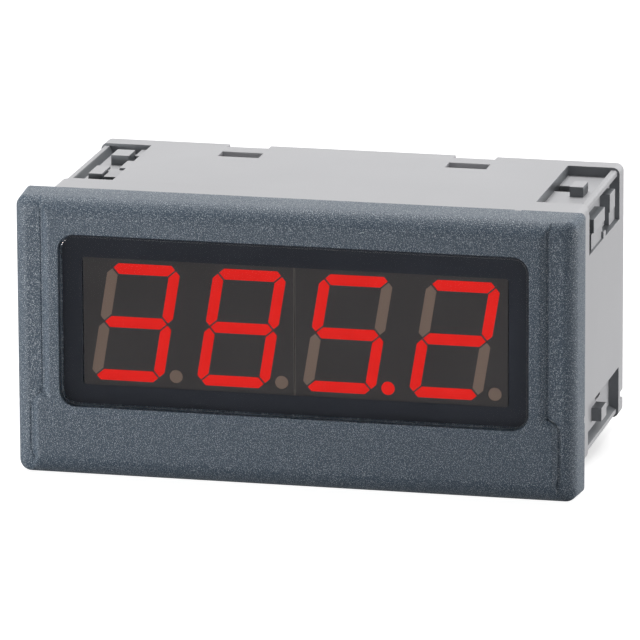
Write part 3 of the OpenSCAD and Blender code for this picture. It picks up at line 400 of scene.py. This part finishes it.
def skin(rings, cap=True, loop=False):
    """Quads between one ring of points and the next, all of equal length. The ends are closed with
    flat faces if cap is set, or the last ring is joined to the first if loop is set."""
    count, size = rings.shape[:2]
    index = np.arange(count * size).reshape(count, size)
    if loop:
        index = np.concatenate([index, index[:1]])
    start, end = index[:-1], index[1:]
    quads = np.stack([start, np.roll(start, -1, 1), np.roll(end, -1, 1), end], -1).reshape(-1, 4)
    faces = quads.tolist()
    if cap and not loop:
        faces += [index[0][::-1].tolist(), index[-1].tolist()]
    return rings.reshape(-1, 3), faces


def surface_mesh(name, *parts):
    """One mesh from several sets of points and faces, with every face turned outwards."""
    mesh = bpy.data.meshes.new(name)
    points, faces, first = [], [], 0
    for part_points, part_faces in parts:
        points.append(part_points)
        faces += [[first + k for k in face] for face in part_faces]
        first += len(part_points)
    mesh.from_pydata(np.concatenate(points).tolist(), [], faces)
    work = bmesh.new()
    work.from_mesh(mesh)
    bmesh.ops.remove_doubles(work, verts=work.verts, dist=1e-7)
    bmesh.ops.recalc_face_normals(work, faces=work.faces)
    work.to_mesh(mesh)
    work.free()
    return mesh


def set_back(width, height, radius, centre_z, levels):
    """Rings of one rounded rectangle, each at its own Y and drawn in by its own inset."""
    rings = []
    for y, inset in levels:
        flat = round_box(width - 2 * inset, height - 2 * inset, max(radius - inset, 1e-5))
        rings.append(np.stack([flat[:, 0], np.full(len(flat), y), flat[:, 1] + centre_z], 1))
    return np.array(rings)


pane_low, pane_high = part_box("window")
pane_width = pane_high[0] - pane_low[0]
pane_height = pane_high[2] - pane_low[2]
pane_centre = (pane_high[2] + pane_low[2]) / 2
pane_radius = 0.0026
polish = 0.00026
ink = 0.00002
pane_back = pane_high[1] - 2 * ink
pane_levels = [(pane_back, 0.0), (pane_low[1] + polish, 0.0), (pane_low[1] + 0.3 * polish, 0.3 * polish),
               (pane_low[1], polish), (pane_low[1], 1.3 * polish)]
smoked, tree, shader = plain_material("smoked_acrylic")
shader.inputs["Transmission Weight"].default_value = 1.0
shader.inputs["IOR"].default_value = 1.06
tone = add_node(tree, "ShaderNodeGroup", node_tree=tone_drift)
tone.inputs["Colour"].default_value = (0.7, 0.7, 0.705, 1.0)
tone.inputs["Amount"].default_value = 0.02
tree.links.new(tone.outputs["Colour"], shader.inputs["Base Color"])
shader.inputs["Roughness"].default_value = 0.0
polished = add_node(tree, "ShaderNodeAttribute", attribute_name="polished_edge")
tree.links.new(polished.outputs["Fac"], shader.inputs["Coat Weight"])
pane = surface_mesh("window_pane", skin(set_back(pane_width, pane_height, pane_radius, pane_centre, pane_levels)))
edge_mark = pane.attributes.new("polished_edge", "FLOAT", "FACE")
edge_mark.data.foreach_set("value", [float(0.2 < -face.normal.y < 0.99) for face in pane.polygons])
make_piece("window_pane", pane, smoked, "meter", ["window"])

opening_width = 0.073
opening_height = 0.022
opening_centre = 0.0029
opening_radius = 0.0006
outer = set_back(pane_width, pane_height, pane_radius, pane_centre,
                 [(pane_high[1] - 1.5 * ink, 0.0001), (pane_high[1] - 0.5 * ink, 0.0001)])
inner = set_back(opening_width, opening_height, opening_radius, opening_centre,
                 [(pane_high[1] - 0.5 * ink, 0.0), (pane_high[1] - 1.5 * ink, 0.0)])
black_ink = moulded("black_ink", (0.056, 0.062, 0.077), 0.6, grain=5000.0, depth=0.0000005, drift=0.1, specular=0.1)
make_piece("window_print", surface_mesh("window_print", skin(np.concatenate([outer, inner]), loop=True)),
           black_ink, "meter")


# ---------------------------------------------------------------- Display modules
# Two moulded blocks of two digits each, painted warm grey in front. Each segment is a light
# well cast full of milky resin, red where its diode is on and grey-brown where it is off.

def dress(material, *names):
    """Gives a CAD node's own slots that material."""
    for name in names:
        slots = nodes[name].material_slots
        for held in slots:
            held.material = material
        if not slots:
            nodes[name].data.materials.append(material)


face_paint = moulded("face_paint", (0.102, 0.096, 0.096), 0.7, grain=6000.0, depth=0.000002, drift=0.04, specular=0.2)
tree = face_paint.node_tree
shader = tree.nodes["Principled BSDF"]
painted = shader.inputs["Base Color"].links[0].from_socket
split = add_node(tree, "ShaderNodeSeparateXYZ",
                 {"Vector": add_node(tree, "ShaderNodeTexCoord").outputs["Object"]})
from_middle = add_node(tree, "ShaderNodeMath", {0: split.outputs["X"]}, operation="ABSOLUTE")
bare = add_node(tree, "ShaderNodeMath", {0: from_middle.outputs[0], 1: 0.00018}, operation="LESS_THAN")
edge_tone = add_node(tree, "ShaderNodeMix", {"Factor": bare.outputs[0], 6: painted, 7: (0.2, 0.185, 0.17, 1.0)},
                     data_type="RGBA")
tree.links.new(edge_tone.outputs[2], shader.inputs["Base Color"])
dress(face_paint, "display_left", "display_right")

lit_resin, tree, shader = plain_material("lit_resin")
shader.inputs["Roughness"].default_value = 0.5
shader.inputs["Specular IOR Level"].default_value = 0.05
shader.inputs["Emission Strength"].default_value = 1.0
cloud = add_node(tree, "ShaderNodeGroup", node_tree=tone_drift)
cloud.inputs["Colour"].default_value = (0.91, 0.021, 0.017, 1.0)
cloud.inputs["Scale"].default_value = 350.0
cloud.inputs["Amount"].default_value = 0.05
tree.links.new(cloud.outputs["Colour"], shader.inputs["Emission Color"])
tint = add_node(tree, "ShaderNodeMix", {"Factor": cloud.outputs["Mask"], 6: (0.12, 0.006, 0.005, 1.0),
                                        7: (0.16, 0.008, 0.006, 1.0)}, data_type="RGBA")
tree.links.new(tint.outputs[2], shader.inputs["Base Color"])
dress(lit_resin, "segments_lit")

unlit_resin = moulded("unlit_resin", (0.375, 0.275, 0.22), 0.6, grain=3500.0, depth=0.000002, drift=0.04, specular=0.2)
dress(unlit_resin, "segments_unlit")

tinned = moulded("tinned_metal", (0.66, 0.66, 0.64), 0.3, grain=4200.0, depth=0.000003, drift=0.05, metallic=1.0)
dress(tinned, "display_pins")


# ---------------------------------------------------------------- Display board
# A single-sided board of green epoxy glass with solder resist. It carries the two modules in
# front, and their driver chip and resistors behind, and hangs on four stakes of the bezel.

weave_board, put_in, put_out = node_group(
    "weave_board",
    [("Colour", "NodeSocketColor", (0.02, 0.15, 0.06, 1.0)),
     ("Track Colour", "NodeSocketColor", (0.05, 0.3, 0.1, 1.0))],
    [("Colour", "NodeSocketColor"), ("Height", "NodeSocketFloat")])
place = add_node(weave_board, "ShaderNodeTexCoord").outputs["Object"]
warp = add_node(weave_board, "ShaderNodeTexWave", {"Vector": place, "Scale": 800.0}, bands_direction="X")
weft = add_node(weave_board, "ShaderNodeTexWave", {"Vector": place, "Scale": 800.0}, bands_direction="Z")
cloth = add_node(weave_board, "ShaderNodeMath", {0: warp.outputs["Fac"], 1: weft.outputs["Fac"]}, operation="MULTIPLY")
tracks = add_node(weave_board, "ShaderNodeTexVoronoi", {"Vector": place, "Scale": 260.0}, distance="MANHATTAN",
                  feature="DISTANCE_TO_EDGE")
edge_of = add_node(weave_board, "ShaderNodeMath", {0: tracks.outputs["Distance"], 1: 0.16}, operation="LESS_THAN")
laid = add_node(weave_board, "ShaderNodeMix", {"Factor": edge_of.outputs[0], 6: put_in.outputs["Colour"],
                                               7: put_in.outputs["Track Colour"]}, data_type="RGBA")
step = add_node(weave_board, "ShaderNodeMath", {0: cloth.outputs[0], 1: 0.25, 2: edge_of.outputs[0]},
                operation="MULTIPLY_ADD")
weave_board.links.new(laid.outputs[2], put_out.inputs["Colour"])
weave_board.links.new(step.outputs[0], put_out.inputs["Height"])

board_green, tree, shader = plain_material("circuit_board")
shader.inputs["Roughness"].default_value = 0.32
glass_cloth = add_node(tree, "ShaderNodeGroup", node_tree=weave_board)
tree.links.new(glass_cloth.outputs["Colour"], shader.inputs["Base Color"])
bump = add_node(tree, "ShaderNodeBump", {"Height": glass_cloth.outputs["Height"], "Distance": 0.00003})
tree.links.new(bump.outputs["Normal"], shader.inputs["Normal"])
dress(board_green, "display_board", "main_board")

chip_black = moulded("chip_black", (0.014, 0.014, 0.015), 0.5, grain=5200.0, depth=0.000006, drift=0.06)
dress(chip_black, "display_driver", "link_header", "bridge_rectifier", "supply_controller", "optocoupler",
      "microcontroller", "converter_chip")
gilt = moulded("gilt_metal", (0.72, 0.56, 0.28), 0.26, grain=4200.0, depth=0.000003, drift=0.05, metallic=1.0)
dress(gilt, "link_pins", "supply_header_pins", "input_header_pins", "supply_contacts", "input_contacts")
blue_coat = moulded("resistor_coat", (0.03, 0.1, 0.24), 0.4, grain=4200.0, depth=0.000005, drift=0.08)
dress(blue_coat, "segment_resistors", "input_resistors")


# ---------------------------------------------------------------- Main board
# The board that lies lengthways in the housing, slid in between its ribs. The supply side has the
# switching transformer, capacitors, varistor and fuse, and the measuring side the converter.

grey_ferrite = moulded("ferrite", (0.035, 0.034, 0.036), 0.55, grain=2600.0, depth=0.00001, drift=0.1)
dress(grey_ferrite, "transformer_core")
cream = moulded("cream_plastic", (0.62, 0.55, 0.38), 0.45, grain=3800.0, depth=0.000006, drift=0.04)
dress(cream, "transformer_bobbin")
tape = moulded("winding_tape", (0.7, 0.5, 0.06), 0.3, grain=1800.0, depth=0.00001, drift=0.1)
dress(tape, "transformer_winding")
sleeve = moulded("capacitor_sleeve", (0.02, 0.025, 0.04), 0.3, grain=1500.0, depth=0.000006, drift=0.06)
dress(sleeve, "bulk_capacitor", "output_capacitor")
coat = moulded("varistor_coat", (0.03, 0.12, 0.4), 0.42, grain=1500.0, depth=0.00002, drift=0.08)
dress(coat, "varistor")
fuse_body = moulded("fuse_plastic", (0.3, 0.25, 0.17), 0.45, grain=3200.0, depth=0.000006, drift=0.06)
dress(fuse_body, "fuse")
dress(tinned, "crystal")


# ---------------------------------------------------------------- Housing
# A light grey sleeve in the same plastic as the bezel, with a finer grain. Clamp recesses with
# catches and slots are moulded into both faces of each corner by slides in the tool; their inner walls are painted
# dark as shade.

# The pale specks at the grain's tips are painted glints
light_grey = moulded("light_grey_plastic", (0.62, 0.62, 0.64), 0.42, grain=4200.0, depth=0.000012,
                     glint_colour=(0.75, 0.75, 0.76), glint_share=0.3, tip_level=0.6, drift=0.02)
# Walls inside the clamp recesses, all but those turned outwards, are painted dark blue-grey: painted shade
tree = light_grey.node_tree
shader = tree.nodes["Principled BSDF"]
unshaded_colour = shader.inputs["Base Color"].links[0].from_socket
recess_shade_mask = add_node(tree, "ShaderNodeAttribute", attribute_name="painted_recess_shade")
recess_shade_share = add_node(tree, "ShaderNodeMath", {0: recess_shade_mask.outputs["Fac"], 1: 0.85}, operation="MULTIPLY")
recess_shade_mix = add_node(tree, "ShaderNodeMix", {"Factor": recess_shade_share.outputs[0], 6: unshaded_colour,
                                          7: (0.16, 0.175, 0.19, 1.0)}, data_type="RGBA")
tree.links.new(recess_shade_mix.outputs[2], shader.inputs["Base Color"])
shell = merged_mesh("housing")
shell_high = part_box("housing")[1]
recess_start, recess_end = 0.0135, shell_high[1] - 0.0035
recess_wide, recess_deep, skin_depth, facing_out = 0.0095, 0.002, 0.00004, 0.7
shaded_recess_walls = []
for face in shell.polygons:
    spot, facing = face.center, face.normal
    rim = [shell_high[k] - abs(spot[k]) for k in (0, 2)]
    in_recess = recess_start < spot.y < recess_end and max(rim) < recess_wide and min(rim) > skin_depth
    outward = abs(facing.x) > facing_out if rim[0] < rim[1] else abs(facing.z) > facing_out
    shaded_recess_walls.append(float(in_recess and min(rim) < recess_deep and not outward))
shell.attributes.new("painted_recess_shade", "FLOAT", "FACE").data.foreach_set("value", shaded_recess_walls)
make_piece("housing_shell", shell, light_grey, "meter", ["housing"], edge=0.00012)


# ---------------------------------------------------------------- Rear cover
# A plate of the same light grey plastic with cooling slots. Its four sprung tongues click into the
# housing's latch slots, and the plugs come through its two openings.

make_piece("rear_plate", merged_mesh("rear_cover"), light_grey, "meter", ["rear_cover"],
           edge=0.00012)


# ---------------------------------------------------------------- Terminals
# Two-part terminals in green polyamide. The header is soldered to the board; the plug pulls off,
# and each of its poles has a slotted clamp screw and a rising cage in plated steel.

terminal_green = moulded("terminal_green", (0.035, 0.19, 0.085), 0.42, grain=3600.0, depth=0.000008, drift=0.05)
dress(terminal_green, "supply_header", "input_header")
for plug in ("supply", "input"):
    make_piece(plug + "_plug_body_moulding", merged_mesh(plug + "_plug"), terminal_green,
               plug + "_plug_body", [plug + "_plug"], edge=0.0001)

plated = moulded("plated_steel", (0.62, 0.62, 0.6), 0.28, grain=3000.0, depth=0.000004, drift=0.06, metallic=1.0)


def thread_surface(x, y, foot, top, radius, pitch=0.00045, depth=0.00028, around=40, per_turn=10):
    """A threaded shank: radius at angle a and height h is the outer radius less the depth times the
    distance of h / pitch - a / full turn from its nearest whole number, taken twice."""
    height = np.linspace(foot, top, int((top - foot) / pitch * per_turn))
    angle = np.linspace(0, 2 * np.pi, around, endpoint=False)
    phase = height[:, None] / pitch - angle[None, :] / (2 * np.pi)
    groove = 2 * np.abs(phase - np.round(phase))
    reach = radius - depth * groove
    rings = np.stack([x + reach * np.cos(angle), y + reach * np.sin(angle), np.repeat(height[:, None], around, 1)], -1)
    return skin(rings)


def disc_rings(x, y, levels, around=48):
    """Circles about one upright axis, each at its own height with its own radius."""
    angle = np.linspace(0, 2 * np.pi, around, endpoint=False)
    return np.array([np.stack([x + r * np.cos(angle), y + r * np.sin(angle), np.full(around, z)], 1)
                     for z, r in levels])


def half_head(x, y, side, levels, slot, around=24):
    """One half of a slotted head: the outline is an arc closed by the slot's straight wall, and it
    is drawn in towards the top by its own inset."""
    rings = []
    for z, radius, inset in levels:
        start = math.asin((slot / 2 + inset) / radius)
        angle = np.linspace(start, np.pi - start, around)
        rings.append(np.stack([x + radius * np.cos(angle), y + side * radius * np.sin(angle),
                               np.full(around, z)], 1))
    return skin(np.array(rings))


for name in [f"supply_screw_{k}" for k in (1, 2)] + [f"input_screw_{k}" for k in (1, 2, 3, 4)]:
    low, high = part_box(name)
    x, y = (low[0] + high[0]) / 2, (low[1] + high[1]) / 2
    head = (high[0] - low[0]) / 2
    head_low = 0.00025
    slot_floor = high[2] - 0.0007
    soft = 0.00012
    shank = 0.00125
    slot_width = 0.0006
    half_levels = [(slot_floor, head, 0.0), (high[2] - soft, head, 0.0), (high[2], head - soft, soft)]
    mesh = surface_mesh(
        name + "_turned",
        thread_surface(x, y, low[2], head_low + 0.0001, shank),
        skin(disc_rings(x, y, [(head_low, head - soft), (head_low + soft, head), (slot_floor, head)])),
        *[half_head(x, y, side, half_levels, slot_width) for side in (1, -1)])
    make_piece(name + "_turned", mesh, plated, name + "_body", [name])
for name in [f"supply_cage_{k}" for k in (1, 2)] + [f"input_cage_{k}" for k in (1, 2, 3, 4)]:
    make_piece(name + "_folded", merged_mesh(name), plated, name + "_body", [name], edge=0.00015)


# ---------------------------------------------------------------- Stage
# A white sweep under a large soft box, a second one on the right and a weak fill in front, as
# goods are pictured for a catalogue. None of it belongs to the meter.

def soft_box(name, place, aim, width, height, watts):
    """A soft box at a place, turned to face the aim. A ray that has passed through glass doesn't see it."""
    lamp = bpy.data.lights.new(name, "AREA")
    lamp.shape = "RECTANGLE"
    lamp.size, lamp.size_y = width, height
    lamp.energy = watts
    made = bpy.data.objects.new(name, lamp)
    bpy.context.scene.collection.objects.link(made)
    made.visible_transmission = False
    back = np.array(place) - np.array(aim)
    back = back / np.linalg.norm(back)
    side = np.cross((0.0, 0.0, 1.0) if abs(back[2]) < 0.99 else (0.0, 1.0, 0.0), back)
    side = side / np.linalg.norm(side)
    up = np.cross(back, side)
    made.matrix_world = Matrix(((side[0], up[0], back[0], place[0]), (side[1], up[1], back[1], place[1]),
                                (side[2], up[2], back[2], place[2]), (0, 0, 0, 1)))
    return made


soft_box("top_box", (-0.05, 0.33, 1.1), (0, 0.02, 0), 0.8, 0.7, 10.0)
right_lamp = soft_box("low_right_box", (0.85, 0.2, 0.05), (0.03, 0.02, 0), 0.7, 0.12, 3.45)
left_lamp = soft_box("low_left_box", (-0.28, -0.23, 0.018), (-0.02, 0, 0), 0.24, 0.06, 0.78)

def seen_share(tree, ray, mirrored):
    """One for rays from the camera and through glass, and the given share for reflections."""
    seen = add_node(tree, "ShaderNodeMath", {0: ray.outputs["Is Camera Ray"], 1: mirrored}, operation="MAXIMUM")
    seen = add_node(tree, "ShaderNodeMath", {0: seen.outputs[0], 1: ray.outputs["Is Transmission Ray"]},
                    operation="MAXIMUM")
    return seen.outputs[0]


def studio_sheet(name, points):
    """An object in the scene from a grid of points, by rows and columns."""
    mesh = bpy.data.meshes.new(name)
    quads = grid_quads(*points.shape[:2])
    mesh.from_pydata(points.reshape(-1, 3).tolist(), [], quads.reshape(-1, 4).tolist())
    made = bpy.data.objects.new(name, mesh)
    bpy.context.scene.collection.objects.link(made)
    return made


world = bpy.data.worlds.new("white_surround")
bpy.context.scene.world = world
world.use_nodes = True
tree = world.node_tree
tree.nodes.clear()
ray = add_node(tree, "ShaderNodeLightPath")
seen = seen_share(tree, ray, ray.outputs["Is Glossy Ray"])
strength = add_node(tree, "ShaderNodeMath", {0: seen, 1: 0.93, 2: 0.07}, operation="MULTIPLY_ADD")
sky = add_node(tree, "ShaderNodeBackground", {"Color": (1.0, 1.0, 1.0, 1.0), "Strength": strength.outputs[0]})
tree.links.new(sky.outputs[0], add_node(tree, "ShaderNodeOutputWorld").inputs["Surface"])

floor_z = float(cad_box[0][2]) - 0.0001
half_floor = 3.0
grid = np.linspace(-half_floor, half_floor, 13)
across, along = np.meshgrid(grid, grid)
sweep = studio_sheet("sweep", np.stack([across, along, np.full(across.shape, floor_z)], -1))
# The two low lamps are kept off the paper, where they would leave hot spots
shaded = bpy.data.collections.new("kept_off_the_paper")
shaded.objects.link(sweep)
shaded.collection_objects[0].light_linking.link_state = "EXCLUDE"
left_lamp.light_linking.receiver_collection = shaded
right_lamp.light_linking.receiver_collection = shaded
paper = bpy.data.materials.new("white_paper")
paper.use_nodes = True
tree = paper.node_tree
tree.nodes.clear()
ray = add_node(tree, "ShaderNodeLightPath")
fibre = add_node(tree, "ShaderNodeTexNoise", {"Vector": add_node(tree, "ShaderNodeTexCoord").outputs["Object"],
                                              "Scale": 900.0, "Detail": 3.0})
tone = add_node(tree, "ShaderNodeMix", {"Factor": fibre.outputs["Fac"], 6: (0.4, 0.4, 0.4, 1.0),
                                        7: (0.44, 0.44, 0.44, 1.0)}, data_type="RGBA")
matt = add_node(tree, "ShaderNodeBsdfDiffuse", {"Color": tone.outputs[2]})
# The paper's glow for camera rays and reflections falls from 0.97 to 0.15 in an ellipse under and behind the meter: a
# painted shadow
spread = add_node(tree, "ShaderNodeVectorMath", {0: add_node(tree, "ShaderNodeTexCoord").outputs["Object"],
                                                1: (0.0, -0.026, 0.0241)}, operation="ADD")
spread = add_node(tree, "ShaderNodeVectorMath", {0: spread.outputs[0], 1: (19.0, 31.0, 1.0)}, operation="MULTIPLY")
reach = add_node(tree, "ShaderNodeVectorMath", {0: spread.outputs[0]}, operation="LENGTH")
painted_shadow_fade = add_node(tree, "ShaderNodeMapRange", {"Value": reach.outputs["Value"], "From Min": 0.55, "From Max": 1.0,
                                                 "To Min": 0.15, "To Max": 0.97}, interpolation_type="SMOOTHSTEP")
mirrored = add_node(tree, "ShaderNodeMath", {0: ray.outputs["Is Glossy Ray"], 1: 0.3}, operation="MULTIPLY")
seen = seen_share(tree, ray, mirrored.outputs[0])
glow_level = add_node(tree, "ShaderNodeMath", {0: seen, 1: painted_shadow_fade.outputs[0]}, operation="MULTIPLY")
glow = add_node(tree, "ShaderNodeEmission", {"Color": (1.0, 1.0, 1.0, 1.0), "Strength": glow_level.outputs[0]})
both = add_node(tree, "ShaderNodeAddShader", {0: matt.outputs[0], 1: glow.outputs[0]})
tree.links.new(both.outputs[0], add_node(tree, "ShaderNodeOutputMaterial").inputs["Surface"])
sweep.data.materials.append(paper)

# A matt black flag above the camera, which doesn't see it, keeps the upper front dark
rise, across = np.meshgrid(np.radians(np.linspace(20, 72, 14)), np.linspace(-0.9, 0.9, 13), indexing="ij")
flag = studio_sheet("black_flag", np.stack([across, -np.cos(rise), np.sin(rise)], -1))
flag.visible_camera = False
felt, tree, shader = plain_material("black_felt")
fuzz = add_node(tree, "ShaderNodeTexNoise", {"Vector": add_node(tree, "ShaderNodeTexCoord").outputs["Object"],
                                             "Scale": 200.0})
dark = add_node(tree, "ShaderNodeMix", {"Factor": fuzz.outputs["Fac"], 6: (0.015, 0.015, 0.015, 1.0),
                                        7: (0.03, 0.03, 0.03, 1.0)}, data_type="RGBA")
tree.links.new(dark.outputs[2], shader.inputs["Base Color"])
shader.inputs["Roughness"].default_value = 1.0
flag.data.materials.append(felt)

bpy.context.scene.view_settings.view_transform = "Standard"
turn, lift, roll = math.radians(13.253), math.radians(14.432), math.radians(-0.278)
aim = np.array([0.002731, 0.0, 0.003283])
distance = 1.257
back = np.array([math.sin(turn) * math.cos(lift), -math.cos(turn) * math.cos(lift), math.sin(lift)])
level_right = np.cross(-back, (0.0, 0.0, 1.0))
level_right = level_right / np.linalg.norm(level_right)
level_up = np.cross(level_right, -back)
right = math.cos(roll) * level_right + math.sin(roll) * level_up
up = -math.sin(roll) * level_right + math.cos(roll) * level_up
eye = aim + back * distance
lens = bpy.data.cameras.new("camera")
lens.lens = 422.1
lens.sensor_width = 36.0
lens.clip_start = 0.05
lens.clip_end = 20.0
camera = bpy.data.objects.new("camera", lens)
bpy.context.scene.collection.objects.link(camera)
camera.matrix_world = Matrix([[*map(float, (right[k], up[k], back[k], eye[k]))] for k in range(3)] + [[0, 0, 0, 1]])
bpy.context.scene.camera = camera
